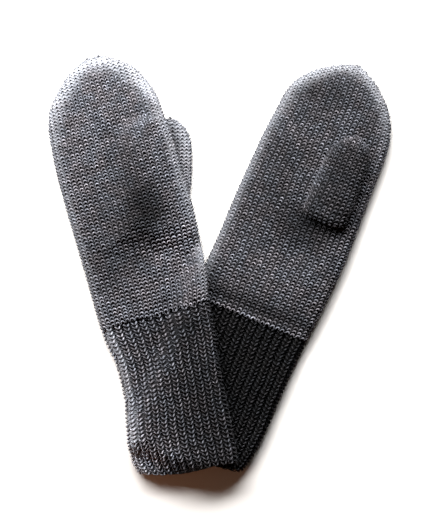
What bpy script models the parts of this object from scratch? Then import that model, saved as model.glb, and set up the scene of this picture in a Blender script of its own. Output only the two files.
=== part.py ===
"""A pair of knitted mittens lying flat in a V, the left one's cuff on top of the right one's.

Left and right are the wearer's.  The left mitten shows the back of the hand and its thumb lies
under it.  The right mitten shows its palm, with its thumb on the palm.  Each mitten is a
stocking-stitch hand with a rounded tip, a long cuff in 1 by 1 rib and a thumb, and each of them
is a hollow flattened tube.  Tables and sizes are in millimetres, and the meshes are in metres.
"""
import math
from collections import namedtuple

import bmesh
import bpy
import numpy as np

# Sizes
MM = 0.001
CENTRE = (2.895, -1.785)  # the middle of everything built, which becomes the origin
GAP = 0.3  # between pieces that touch or are knitted on
HAND_WALL = 2.6
CUFF_WALL = 1.9  # between the ribs
THUMB_WALL = 2.3
THUMB_THICK = 6.4
HAND_DOME = 0.16  # how much of its thickness a section loses at its sides
CUFF_DOME = 0.10
THUMB_DOME = 0.3
RIBS = 26
RIB_RISE = 1.3

# How finely the tubes are divided
LEFT_STEP = 7.0  # the most between two sections of the mitten that lies over things
RIGHT_STEP = 13.0
HAND_FACES, HAND_SIDES = 12, 5
INNER_FACES, INNER_SIDES = 10, 3
THUMB_FACES, THUMB_SIDES = 8, 4
RIB_STEPS = ((0.08, 0.0), (0.27, 1.0), (0.73, 1.0), (0.92, 0.0))  # part of a rib, rise
UNDER_STEPS = ((0.25, 0.0), (0.75, 0.0))
UNDER_RIBS = range(9, 17)  # those that the cuff rests on, which are plain

# How the left mitten rises over what lies under it
OVER_MITTEN = 8.5
RISE_INSIDE = 1.5  # how far inside an outline the slope starts
OUTSIDE_MITTEN, OUTSIDE_THUMB = 15.0, 23.0  # and where it ends outside
BELOW_THUMB = 3.5  # how far the hand stays raised past the base of the thumb
BESIDE_THUMB = 3.5  # and past its outline

# A mitten's place: the middle of its wrist, and how far it is turned anticlockwise, in degrees
Place = namedtuple("Place", "x y turn")
LEFT_PLACE = Place(-39.99, -32.25, 15.4)
RIGHT_PLACE = Place(22.58, -34.19, -22.3)
LEFT_THUMB_PLACE = Place(-30.0, 33.2, 0.0)

# Sections along a piece.  The lags move a section's left and right ends towards the tip, and
# rib is the share of their full rise that its ribs have.
Row = namedtuple("Row", "along left right thick lag_left lag_right rib",
                 defaults=(0.0, 0.0, 1.0))
LEFT_HAND = [
    Row(0.15, -35.5, 36.5, 8.3),
    Row(7.7, -35.6, 38.6, 8.7),
    Row(16.8, -35.6, 40.3, 8.8),
    Row(28.0, -35.7, 41.3, 8.8),
    Row(40.0, -35.8, 42.0, 8.8),
    Row(52.0, -36.0, 42.8, 8.8),
    Row(63.0, -36.2, 43.4, 8.8),
    Row(74.8, -36.4, 42.4, 8.8),
    Row(86.4, -36.5, 42.2, 8.8),
    Row(99.3, -36.5, 42.2, 8.8),
    Row(110.9, -36.0, 41.6, 8.8),
    Row(122.5, -35.1, 40.6, 8.8),
    Row(131.6, -33.9, 40.3, 8.7),
    Row(138.0, -32.3, 39.1, 8.5),
    Row(143.8, -30.0, 37.0, 8.3),
    Row(149.0, -26.1, 34.5, 8.0),
    Row(154.2, -21.0, 31.5, 7.7),
    Row(158.7, -16.1, 27.5, 7.3),
    Row(162.5, -11.1, 22.4, 6.8),
    Row(165.8, -5.6, 17.6, 6.2),
    Row(168.3, 0.5, 12.5, 5.4),
]
RIGHT_HAND = [
    Row(0.15, -39.0, 40.0, 8.3),
    Row(9.0, -39.2, 41.0, 8.6),
    Row(19.4, -39.5, 41.8, 8.7),
    Row(32.2, -39.0, 42.8, 8.8),
    Row(46.4, -38.7, 43.6, 8.8),
    Row(60.6, -38.7, 43.8, 8.8),
    Row(73.5, -38.5, 43.6, 8.8),
    Row(86.4, -38.1, 43.2, 8.8),
    Row(99.3, -37.5, 42.9, 8.8),
    Row(110.9, -37.0, 42.8, 8.8),
    Row(122.5, -36.0, 42.5, 8.8),
    Row(132.9, -34.8, 42.1, 8.7),
    Row(140.6, -33.5, 40.4, 8.6),
    Row(147.1, -32.2, 38.0, 8.4),
    Row(152.9, -29.8, 34.9, 8.1),
    Row(158.0, -26.1, 31.1, 7.8),
    Row(162.5, -21.9, 26.9, 7.4),
    Row(166.4, -17.1, 21.7, 7.0),
    Row(169.6, -12.5, 16.8, 6.5),
    Row(172.5, -6.8, 12.0, 5.9),
    Row(174.7, -2.4, 7.3, 5.2),
]
LEFT_CUFF = [
    Row(-104.6, -35.2, 27.0, 7.2, 6.6, -2.6, 0.2),
    Row(-102.9, -36.6, 27.6, 7.9, 6.2, -2.6),
    Row(-95.5, -38.4, 28.4, 8.0, 4.6, -2.0),
    Row(-86.4, -38.6, 29.0, 8.0, 2.6, -1.0),
    Row(-76.8, -38.2, 30.0, 8.0, 1.0, 0.0),
    Row(-66.4, -36.3, 30.8, 8.0),
    Row(-56.1, -33.7, 31.4, 8.0),
    Row(-45.8, -32.2, 32.1, 8.0),
    Row(-35.5, -31.7, 33.4, 8.0),
    Row(-24.5, -31.9, 35.1, 7.9),
    Row(-14.2, -33.9, 36.2, 7.8),
    Row(-5.8, -35.1, 36.4, 7.7),
    Row(-1.3, -35.3, 36.3, 7.6),
    Row(-0.15, -35.1, 36.1, 7.4, 0.0, 0.0, 0.2),
]
RIGHT_CUFF = [
    Row(-99.4, -31.6, 31.8, 7.2, 1.0, 3.6, 0.2),
    Row(-97.8, -33.0, 33.4, 7.9, 0.9, 3.2),
    Row(-89.0, -33.7, 35.2, 8.0, 0.4, 1.4),
    Row(-80.0, -34.6, 36.9, 8.0),
    Row(-69.7, -35.1, 37.7, 8.0),
    Row(-59.3, -35.4, 38.1, 8.0),
    Row(-49.0, -35.6, 38.1, 8.0),
    Row(-38.7, -35.8, 38.3, 8.0),
    Row(-28.4, -36.3, 38.5, 8.0),
    Row(-19.4, -36.8, 38.8, 7.9),
    Row(-10.3, -37.7, 39.5, 7.8),
    Row(-3.9, -38.3, 40.1, 7.7),
    Row(-1.3, -38.6, 39.8, 7.6),
    Row(-0.15, -38.5, 39.6, 7.4, 0.0, 0.0, 0.2),
]

# Sections of a thumb that lies on a palm: its under side and its upper side, and its two edges.
# The first four turn down to the opening in the palm.
ThumbRow = namedtuple("ThumbRow", "under low upper high left right")
THUMB = [
    ThumbRow(8.6, 0.0, 0.0, 0.0, -14.6, 15.2),
    ThumbRow(9.2, 0.0, 0.3, 2.6, -15.0, 15.4),
    ThumbRow(10.4, 0.0, 1.8, 4.8, -15.2, 15.5),
    ThumbRow(12.6, 0.0, 4.6, 6.0, -15.2, 15.5),
    ThumbRow(16.0, 0.0, 10.0, 6.4, -15.1, 15.5),
    ThumbRow(21.0, 0.0, 17.5, 6.4, -14.9, 15.5),
    ThumbRow(29.0, 0.0, 28.0, 6.4, -14.7, 15.6),
    ThumbRow(37.0, 0.0, 37.0, 6.4, -14.5, 15.7),
    ThumbRow(44.3, 0.0, 44.3, 6.4, -13.6, 15.2),
    ThumbRow(49.6, 0.0, 49.6, 6.3, -12.0, 13.9),
    ThumbRow(53.8, 0.0, 53.8, 6.1, -9.7, 11.8),
    ThumbRow(57.0, 0.0, 57.0, 5.8, -7.0, 9.1),
    ThumbRow(59.4, 0.0, 59.4, 5.4, -3.6, 5.8),
]
THUMB_TIP = 61.0
RIGHT_THUMB_AT = (19.6, 72.0)  # across and along on the right mitten
LEFT_THUMB_SWAY = -2.6  # how far the base of the left thumb is off its axis

# Soft hollows and swellings on the upper sides, which the cloth has taken lying down
Swell = namedtuple("Swell", "across along wide long rise")
LEFT_SWELLS = [
    Swell(4.0, 62.0, 13.0, 19.0, -1.2),
    Swell(-16.0, 30.0, 12.0, 22.0, 0.6),
    Swell(-18.0, 104.0, 10.0, 30.0, 0.5),
    Swell(14.0, 22.0, 11.0, 14.0, 0.6),
    Swell(6.0, 132.0, 16.0, 12.0, 0.4),
    Swell(-8.0, -46.0, 10.0, 26.0, 0.5),
]
RIGHT_SWELLS = [
    Swell(8.0, 52.0, 20.0, 9.0, -0.9),
    Swell(-14.0, 60.0, 10.0, 26.0, 0.5),
    Swell(-6.0, 118.0, 14.0, 22.0, 0.5),
    Swell(26.0, 30.0, 9.0, 18.0, 0.5),
    Swell(2.0, 156.0, 14.0, 8.0, 0.4),
    Swell(16.0, -40.0, 12.0, 22.0, 0.4),
]

# The yarn's colour and roughness
YARN_COLOUR = (0.090, 0.088, 0.094, 1.0)
YARN_ROUGHNESS = 0.95


def to_mitten(place, x, y):
    """Return across and along, in a place's own frame, of a point on the table."""
    turn = math.radians(place.turn)
    dx, dy = x - place.x, y - place.y
    return dx * math.cos(turn) + dy * math.sin(turn), dy * math.cos(turn) - dx * math.sin(turn)


def to_table(place, across, along):
    """Return x and y on the table of a point in a place's own frame."""
    turn = math.radians(place.turn)
    x = place.x + across * math.cos(turn) - along * math.sin(turn)
    return x, place.y + across * math.sin(turn) + along * math.cos(turn)


def ramp(distance, inside, outside):
    """Return 1 well inside an outline, 0 well outside it and a smooth slope between."""
    t = min(1.0, max(0.0, (outside - distance) / (inside + outside)))
    return t * t * (3.0 - 2.0 * t)


def right_distance(x, y):
    """Return how far a point on the table is outside the right mitten; inside is negative."""
    across, along = to_mitten(RIGHT_PLACE, x, y)
    rows = RIGHT_CUFF[1:] + RIGHT_HAND
    stations = [row.along for row in rows]
    left = np.interp(along, stations, [row.left for row in rows])
    right = np.interp(along, stations, [row.right for row in rows])
    return max(left - across, across - right, RIGHT_CUFF[0].along - along)


def sway(along):
    """Return how far the left thumb's middle is off its axis at a station."""
    return LEFT_THUMB_SWAY * ramp(along, 0.0, 22.0)


def thumb_distance(x, y):
    """Return how far a point on the table is outside the left thumb; inside is negative."""
    across, along = to_mitten(LEFT_THUMB_PLACE, x, y)
    stations = [row.upper for row in THUMB] + [THUMB_TIP]
    left = np.interp(along, stations, [row.left for row in THUMB] + [0.0]) + sway(along)
    right = np.interp(along, stations, [row.right for row in THUMB] + [0.0]) + sway(along)
    outside = max(left - across, across - right, -BELOW_THUMB - along, along - THUMB_TIP)
    return outside - BESIDE_THUMB


def ground(x, y):
    """Return how high the left mitten's underside lies over a point on the table."""
    mitten = OVER_MITTEN * ramp(right_distance(x, y), RISE_INSIDE, OUTSIDE_MITTEN)
    own = (THUMB_THICK + GAP) * ramp(thumb_distance(x, y), RISE_INSIDE, OUTSIDE_THUMB)
    return (mitten ** 4 + own ** 4) ** 0.25


def swollen(swells, across, along):
    """Return how far the upper side rises at a point."""
    return sum(
        swell.rise * math.exp(-((across - swell.across) / swell.wide) ** 2
                              - ((along - swell.along) / swell.long) ** 2)
        for swell in swells)


def palm(across, along):
    """Return the height of the right hand's upper side at a point of its own frame."""
    stations = [row.along for row in RIGHT_HAND]
    left, right, thick = (
        np.interp(along, stations, [getattr(row, edge) for row in RIGHT_HAND])
        for edge in ("left", "right", "thick"))
    part = abs((across - (left + right) / 2) / ((right - left) / 2))
    return thick * (1 - HAND_DOME * part ** 3) + swollen(RIGHT_SWELLS, across, along)


def outline(half, thick, dome, faces, sides):
    """Return a section as (across, up) points, clockwise from the middle of its upper side.

    Its under side is flat, its edges are rounded and its upper side is domed.
    """
    radius = thick / 2
    flat = half - radius
    points = [(2 * flat * i / faces, thick) for i in range(faces // 2)]
    for i in range(sides):
        angle = math.pi / 2 - math.pi * i / sides
        points.append((flat + radius * math.cos(angle), radius + radius * math.sin(angle)))
    points += [(flat - 2 * flat * i / faces, 0.0) for i in range(faces)]
    for i in range(sides):
        angle = -math.pi / 2 - math.pi * i / sides
        points.append((-flat + radius * math.cos(angle), radius + radius * math.sin(angle)))
    points += [(-flat + 2 * flat * i / faces, thick) for i in range(faces // 2)]
    return [(u, v * (1 - dome * abs(u / half) ** 3)) for u, v in points]


def ribbed(half, thick, dome, rib_share):
    """Return a section with its ribs raised, apart from the side that it rests on."""
    fine = np.array(outline(half, thick, dome, 48, 16))
    closed = np.vstack([fine, fine[:1]])
    steps = np.diff(closed, axis=0)
    reached = np.concatenate([[0.0], np.cumsum(np.hypot(steps[:, 0], steps[:, 1]))])
    points = []
    for rib in range(RIBS):
        for part, rise in UNDER_STEPS if rib in UNDER_RIBS else RIB_STEPS:
            at = (rib + part) / RIBS * reached[-1]
            u, v = (np.interp(at, reached, closed[:, k]) for k in (0, 1))
            step = steps[min(len(steps) - 1, int(np.searchsorted(reached, at, "right")) - 1)]
            out = np.array((-step[1], step[0])) / np.hypot(*step)
            raised = min(1.0, max(0.0, (out[1] + 0.4) / 0.8)) * rise * rib_share * RIB_RISE
            points.append((u + out[0] * raised, max(0.0, v + out[1] * raised)))
    return points


def shifted(row, across):
    """Return where a section's point lies along its piece, with the lag of its ends."""
    middle, half = (row.left + row.right) / 2, (row.right - row.left) / 2
    part = (across - middle) / half
    return row.along + (row.lag_left if part < 0 else row.lag_right) * part * part


def section(place, row, ring, lift, swells, over):
    """Return a section's ring in the room: ring points become x, y and z in millimetres."""
    middle = (row.left + row.right) / 2
    points = []
    for u, v in ring:
        across = middle + u
        along = shifted(row, across)
        x, y = to_table(place, across, along)
        rise = swollen(swells, across, along) * (v + lift) / row.thick
        points.append((x, y, v + lift + rise + (ground(x, y) if over else 0.0)))
    return points


def divided(rows, step):
    """Return the rows with others between them where they are further apart than a step."""
    result = [rows[0]]
    for row, after in zip(rows, rows[1:]):
        count = math.ceil((after.along - row.along) / step)
        for k in range(1, count + 1):
            result.append(Row(*(a + (b - a) * k / count for a, b in zip(row, after))))
    return result


def narrowed(rows, wall):
    """Return the rows of the wall's inside, which stop a wall's thickness before a tip."""
    slopes = [np.gradient([getattr(row, edge) for row in rows], [row.along for row in rows])
              for edge in ("left", "right")]
    inner = []
    for row, left, right in zip(rows, *slopes):
        row = row._replace(left=row.left + wall * math.hypot(1, left),
                           right=row.right - wall * math.hypot(1, right))
        if row.right - row.left > 12:
            inner.append(row)
    return inner


def bridge(points, first, second):
    """Return triangles that join two rings of point numbers, with the shorter step each time."""
    faces, i, j = [], 0, 0
    while i < len(first) or j < len(second):
        a, b = first[i % len(first)], second[j % len(second)]
        next_a, next_b = first[(i + 1) % len(first)], second[(j + 1) % len(second)]
        if j >= len(second) or (i < len(first) and math.dist(points[next_a], points[b])
                                <= math.dist(points[a], points[next_b])):
            i += 1
            faces.append((a, b, next_a))
        else:
            j += 1
            faces.append((a, b, next_b))
    return faces


def tube(name, outer, inner, tips, material):
    """Build a piece of cloth from its outer and inner rings.

    Both start at the open end.  With tips, an outer and an inner point, the other end is
    closed by them.  Without, it is open.
    """
    points, rings = [], []
    for ring in outer + inner:
        rings.append(range(len(points), len(points) + len(ring)))
        points += ring
    faces = []
    for group in (rings[:len(outer)], rings[len(outer):]):
        for a, b in zip(group, group[1:]):
            n = len(a)
            faces += [(a[k], a[(k + 1) % n], b[(k + 1) % n], b[k]) for k in range(n)]
    faces += bridge(points, rings[0], rings[len(outer)])
    if tips:
        for last, tip in ((rings[len(outer) - 1], tips[0]), (rings[-1], tips[1])):
            points.append(tip)
            faces += [(last[k], last[(k + 1) % len(last)], len(points) - 1)
                      for k in range(len(last))]
    else:
        faces += bridge(points, rings[len(outer) - 1], rings[-1])
    mesh = bpy.data.meshes.new(name)
    mesh.from_pydata([((x - CENTRE[0]) * MM, (y - CENTRE[1]) * MM, z * MM)
                      for x, y, z in points], [], faces)
    work = bmesh.new()
    work.from_mesh(mesh)
    bmesh.ops.recalc_face_normals(work, faces=work.faces)
    work.to_mesh(mesh)
    work.free()
    mesh.materials.append(material)
    obj = bpy.data.objects.new(name, mesh)
    bpy.context.scene.collection.objects.link(obj)
    return obj


def hand(name, place, rows, swells, over, material):
    """Build a hand: a pouch from the wrist to its rounded tip."""
    outer = [
        section(place, row, outline((row.right - row.left) / 2, row.thick, HAND_DOME,
                                    HAND_FACES, HAND_SIDES), 0.0, swells, over)
        for row in rows]
    inner = [
        section(place, row, outline((row.right - row.left) / 2, row.thick - 2 * HAND_WALL,
                                    HAND_DOME, INNER_FACES, INNER_SIDES),
                HAND_WALL, swells, over)
        for row in narrowed(rows, HAND_WALL)]
    tips = []
    for ring, step in ((outer[-1], 1.3), (inner[-1], 0.6)):
        x, y, z = np.mean(ring, axis=0)
        turn = math.radians(place.turn)
        tips.append((x - step * math.sin(turn), y + step * math.cos(turn), z))
    return tube(name, outer, inner, tips, material)


def cuff(name, place, rows, swells, over, material):
    """Build a ribbed cuff, open at the hem and at the wrist."""
    outer, inner = [], []
    for row in rows:
        half, thick = (row.right - row.left) / 2 - RIB_RISE, row.thick - RIB_RISE
        outer.append(section(place, row, ribbed(half, thick, CUFF_DOME, row.rib), 0.0,
                             swells, over))
        ring = outline(half - CUFF_WALL, thick - 2 * CUFF_WALL, CUFF_DOME,
                       INNER_FACES, INNER_SIDES)
        inner.append(section(place, row, ring, CUFF_WALL, swells, over))
    return tube(name, outer, inner, None, material)


def thumb_ring(row, wall, faces, sides):
    """Return a thumb's section as (across, along, up) points."""
    lean, rise = row.upper - row.under, row.high - row.low
    deep = math.hypot(lean, rise)
    middle, half = (row.left + row.right) / 2, (row.right - row.left) / 2 - wall
    return [
        (middle + u, row.under + lean * (v + wall) / deep, row.low + rise * (v + wall) / deep)
        for u, v in outline(half, deep - 2 * wall, THUMB_DOME, faces, sides)]


def turned_over(rows):
    """Return a thumb's rows for a thumb that lies under its palm."""
    return [
        row._replace(under=row.upper, low=THUMB_THICK - row.high, upper=row.under,
                     high=THUMB_THICK - row.low)
        for row in rows]


def thumb(name, rows, put, material):
    """Build a thumb, with put to give the place of a point (across, along, up)."""
    outer = [[put(*point) for point in thumb_ring(row, 0.0, THUMB_FACES, THUMB_SIDES)]
             for row in rows]
    inner = [[put(*point) for point in thumb_ring(row, THUMB_WALL, 6, 3)]
             for row in rows[:-2]]
    last, within = rows[-1], rows[-3]
    tips = (put((last.left + last.right) / 2, THUMB_TIP, (last.low + last.high) / 2),
            put((within.left + within.right) / 2, within.under + 0.9,
                (within.low + within.high) / 2))
    return tube(name, outer, inner, tips, material)


def on_palm(across, along, up):
    """Return the place of a point of the right thumb, which lies on the right palm."""
    across, along = across + RIGHT_THUMB_AT[0], along + RIGHT_THUMB_AT[1]
    return (*to_table(RIGHT_PLACE, across, along), up + GAP + palm(across, along))


def under_palm(across, along, up):
    """Return the place of a point of the left thumb, which lies on the table."""
    return (*to_table(LEFT_THUMB_PLACE, across + sway(along), along), up)


def yarn(name):
    """Return a material for a piece knitted in the yarn."""
    material = bpy.data.materials.new(name)
    material.use_nodes = True
    shader = material.node_tree.nodes["Principled BSDF"]
    shader.inputs["Base Color"].default_value = YARN_COLOUR
    shader.inputs["Roughness"].default_value = YARN_ROUGHNESS
    shader.inputs["Metallic"].default_value = 0.0
    return material


def main():
    """Build the six pieces of the pair."""
    for obj in list(bpy.data.objects):
        bpy.data.objects.remove(obj, do_unlink=True)
    hand("left_hand", LEFT_PLACE, divided(LEFT_HAND, LEFT_STEP), LEFT_SWELLS, True,
         yarn("left_hand_yarn"))
    cuff("left_cuff", LEFT_PLACE, divided(LEFT_CUFF, LEFT_STEP), LEFT_SWELLS, True,
         yarn("left_cuff_yarn"))
    thumb("left_thumb", turned_over(THUMB), under_palm, yarn("left_thumb_yarn"))
    hand("right_hand", RIGHT_PLACE, divided(RIGHT_HAND, RIGHT_STEP), RIGHT_SWELLS, False,
         yarn("right_hand_yarn"))
    cuff("right_cuff", RIGHT_PLACE, divided(RIGHT_CUFF, RIGHT_STEP), RIGHT_SWELLS, False,
         yarn("right_cuff_yarn"))
    thumb("right_thumb", THUMB, on_palm, yarn("right_thumb_yarn"))


main()
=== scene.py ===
"""A pair of charcoal melange mittens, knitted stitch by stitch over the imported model.

Left and right are the wearer's.  Each hand, cuff and thumb is a thin cloth on its solid's form,
and its yarn lies on the cloth as real loops.  Sizes are in millimetres, and meshes in metres.
"""
from __future__ import annotations

import logging
import math
from dataclasses import dataclass, field
from enum import Enum
from typing import Callable, Sequence

import bmesh
import bpy
import numpy as np
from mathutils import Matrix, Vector

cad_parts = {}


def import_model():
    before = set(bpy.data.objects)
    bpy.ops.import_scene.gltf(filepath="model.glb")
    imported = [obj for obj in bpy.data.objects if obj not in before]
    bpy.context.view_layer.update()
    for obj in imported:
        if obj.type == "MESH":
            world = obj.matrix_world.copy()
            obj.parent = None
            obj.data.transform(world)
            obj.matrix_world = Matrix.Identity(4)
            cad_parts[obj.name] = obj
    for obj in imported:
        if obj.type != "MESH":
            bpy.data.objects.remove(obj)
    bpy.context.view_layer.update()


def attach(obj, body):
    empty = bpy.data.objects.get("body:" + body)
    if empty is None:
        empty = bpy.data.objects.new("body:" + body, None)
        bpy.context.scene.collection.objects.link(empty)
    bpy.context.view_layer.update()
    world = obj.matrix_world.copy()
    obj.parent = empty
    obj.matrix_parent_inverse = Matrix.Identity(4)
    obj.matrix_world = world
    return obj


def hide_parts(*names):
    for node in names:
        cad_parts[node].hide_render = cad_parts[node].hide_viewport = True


MM = 0.001
CENTRE = (2.895, -1.785)  # the middle of the pair, which the model has at its origin
GAP = 0.3  # between the right thumb and the palm that it lies on
LOG = logging.getLogger("mittens")


# Places and sections


@dataclass(frozen=True)
class Place:
    """Where a mitten lies: the middle of its wrist, and its turn anticlockwise in degrees."""

    x: float
    y: float
    turn: float

    def to_mitten(self, x: np.ndarray, y: np.ndarray) -> tuple[np.ndarray, np.ndarray]:
        """Find a table point in the mitten's own frame.

        Args:
            x: Distance to the right on the table.
            y: Distance up the table.

        Returns:
            Across and along the mitten.
        """
        turn = math.radians(self.turn)
        dx, dy = x - self.x, y - self.y
        return (dx * math.cos(turn) + dy * math.sin(turn),
                dy * math.cos(turn) - dx * math.sin(turn))

    def to_table(self, across: np.ndarray, along: np.ndarray) -> tuple[np.ndarray, np.ndarray]:
        """Find a point of the mitten's own frame on the table.

        Args:
            across: Distance to the mitten's right.
            along: Distance from its wrist towards its tip.

        Returns:
            x and y on the table.
        """
        turn = math.radians(self.turn)
        return (self.x + across * math.cos(turn) - along * math.sin(turn),
                self.y + across * math.sin(turn) + along * math.cos(turn))


@dataclass(frozen=True)
class Row:
    """A section across a tube; the lags move its two ends towards the tip."""

    along: float
    left: float
    right: float
    thick: float
    lag_left: float = 0.0
    lag_right: float = 0.0


@dataclass(frozen=True)
class ThumbRow:
    """A section of a thumb: its under side, its upper side and its two edges."""

    under: float
    low: float
    upper: float
    high: float
    left: float
    right: float


@dataclass(frozen=True)
class Spot:
    """A soft oval spot: a swelling, trough or crease of the cloth, or a change of its tone."""

    x: float
    y: float
    wide: float
    long: float
    change: float  # the rise in millimetres, or the natural logarithm of the tone's factor
    turn: float = 0.0

    def at(self, x: np.ndarray, y: np.ndarray) -> np.ndarray:
        """Work out the spot's change.

        Args:
            x: Distance to the right.
            y: Distance up the picture, or along the mitten from its wrist.

        Returns:
            The change at each point.
        """
        turn = math.radians(self.turn)
        u, v = x - self.x, y - self.y
        a = u * math.cos(turn) + v * math.sin(turn)
        b = v * math.cos(turn) - u * math.sin(turn)
        return self.change * np.exp(-(a / self.wide) ** 2 - (b / self.long) ** 2)


def summed(spots: Sequence[Spot], x: np.ndarray, y: np.ndarray) -> np.ndarray:
    """Return the change that all the spots make at each point."""
    return sum((spot.at(x, y) for spot in spots), 0.0 * x)


def in_metres(points: np.ndarray) -> np.ndarray:
    """Return points of the table, in millimetres, in the model's own place and units."""
    return (points - np.array([*CENTRE, 0.0])) * MM


LEFT_PLACE = Place(-39.99, -32.25, 15.4)
RIGHT_PLACE = Place(22.58, -34.19, -22.3)
LEFT_THUMB_PLACE = Place(-30.0, 33.2, 0.0)
RIGHT_THUMB_AT = (19.6, 72.0)  # across and along on the right mitten

LEFT_HAND = (
    Row(0.15, -35.5, 36.5, 8.3), Row(7.7, -35.6, 38.6, 8.7), Row(16.8, -35.6, 40.3, 8.8),
    Row(28.0, -35.7, 41.3, 8.8), Row(40.0, -35.8, 42.0, 8.8), Row(52.0, -36.0, 42.8, 8.8),
    Row(63.0, -36.2, 43.4, 8.8), Row(74.8, -36.4, 42.4, 8.8), Row(86.4, -36.5, 42.2, 8.8),
    Row(99.3, -36.5, 42.2, 8.8), Row(110.9, -36.0, 41.6, 8.8), Row(122.5, -35.1, 40.6, 8.8),
    Row(131.6, -33.9, 40.3, 8.7), Row(138.0, -32.3, 39.1, 8.5), Row(143.8, -30.0, 37.0, 8.3),
    Row(149.0, -26.5, 34.8, 8.0), Row(154.2, -21.7, 32.1, 7.7), Row(158.7, -17.3, 28.7, 7.3),
    Row(162.5, -12.9, 24.2, 6.8), Row(165.8, -8.2, 19.8, 6.2), Row(168.3, -3.0, 15.0, 5.4),
    Row(169.5, -0.4, 12.6, 4.4), Row(170.3, 1.8, 10.4, 1.8),
)
RIGHT_HAND = (
    Row(0.15, -39.0, 40.0, 8.3), Row(9.0, -39.2, 41.0, 8.6), Row(19.4, -39.5, 41.8, 8.7),
    Row(32.2, -39.0, 42.8, 8.8), Row(46.4, -38.7, 43.6, 8.8), Row(60.6, -38.7, 43.8, 8.8),
    Row(73.5, -38.5, 43.6, 8.8), Row(86.4, -38.1, 43.2, 8.8), Row(99.3, -37.5, 42.9, 8.8),
    Row(110.9, -37.0, 42.8, 8.8), Row(122.5, -36.0, 42.5, 8.8), Row(132.9, -34.8, 42.1, 8.7),
    Row(140.6, -34.3, 40.5, 8.6), Row(147.1, -33.0, 38.3, 8.4), Row(152.9, -30.4, 35.3, 8.1),
    Row(158.0, -26.7, 31.7, 7.8), Row(162.5, -22.5, 27.9, 7.4), Row(166.4, -18.1, 23.3, 7.0),
    Row(169.6, -13.9, 18.9, 6.5), Row(172.5, -8.5, 14.7, 5.9), Row(174.7, -3.4, 10.4, 5.2),
    Row(175.8, -0.8, 8.0, 4.2), Row(176.6, 1.4, 5.8, 1.8),
)
LEFT_CUFF = (
    Row(-104.6, -35.2, 27.0, 7.2, 6.6, -2.6), Row(-102.9, -36.6, 27.6, 7.9, 6.2, -2.6),
    Row(-95.5, -38.4, 28.4, 8.0, 4.6, -2.0), Row(-86.4, -38.6, 29.0, 8.0, 2.6, -1.0),
    Row(-76.8, -38.2, 30.0, 8.0, 1.0), Row(-66.4, -36.3, 30.8, 8.0),
    Row(-56.1, -33.7, 31.4, 8.0), Row(-45.8, -32.2, 32.1, 8.0), Row(-35.5, -31.7, 33.4, 8.0),
    Row(-24.5, -31.9, 35.1, 7.9), Row(-14.2, -33.9, 36.2, 7.8), Row(-5.8, -35.1, 36.4, 7.7),
    Row(-1.3, -35.3, 36.3, 7.6), Row(-0.15, -35.1, 36.1, 7.4),
)
RIGHT_CUFF = (
    Row(-99.4, -31.6, 31.8, 7.2, 1.0, 3.6), Row(-97.8, -33.0, 33.4, 7.9, 0.9, 3.2),
    Row(-89.0, -33.7, 35.2, 8.0, 0.4, 1.4), Row(-80.0, -34.6, 36.9, 8.0),
    Row(-69.7, -35.1, 37.7, 8.0), Row(-59.3, -35.4, 38.1, 8.0), Row(-49.0, -35.6, 38.1, 8.0),
    Row(-38.7, -35.8, 38.3, 8.0), Row(-28.4, -36.3, 38.5, 8.0), Row(-19.4, -36.8, 38.8, 7.9),
    Row(-10.3, -37.7, 39.5, 7.8), Row(-3.9, -38.3, 40.1, 7.7), Row(-1.3, -38.6, 39.8, 7.6),
    Row(-0.15, -38.5, 39.6, 7.4),
)
THUMB = (
    ThumbRow(8.6, 0.0, 0.0, 0.0, -14.6, 15.2), ThumbRow(9.2, 0.0, 0.3, 2.6, -15.0, 15.4),
    ThumbRow(10.4, 0.0, 1.8, 4.8, -15.2, 15.5), ThumbRow(12.6, 0.0, 4.6, 6.0, -15.2, 15.5),
    ThumbRow(16.0, 0.0, 10.0, 6.4, -15.1, 15.5), ThumbRow(21.0, 0.0, 17.5, 6.4, -14.9, 15.5),
    ThumbRow(29.0, 0.0, 28.0, 6.4, -14.7, 15.6), ThumbRow(37.0, 0.0, 37.0, 6.4, -14.5, 15.7),
    ThumbRow(44.3, 0.0, 44.3, 6.4, -13.6, 15.2), ThumbRow(49.6, 0.0, 49.6, 6.3, -12.0, 13.9),
    ThumbRow(53.8, 0.0, 53.8, 6.1, -9.7, 11.8), ThumbRow(57.0, 0.0, 57.0, 5.8, -7.0, 9.1),
    ThumbRow(59.4, 0.1, 59.4, 5.4, -3.6, 5.8), ThumbRow(60.3, 0.8, 60.3, 4.7, -1.4, 3.6),
    ThumbRow(60.8, 1.9, 60.8, 3.6, 0.3, 1.9),
)
THUMB_TIP = 61.0
THUMB_THICK = 6.4
THUMB_SWAY = -2.6  # how far the base of the left thumb is off its axis

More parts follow.
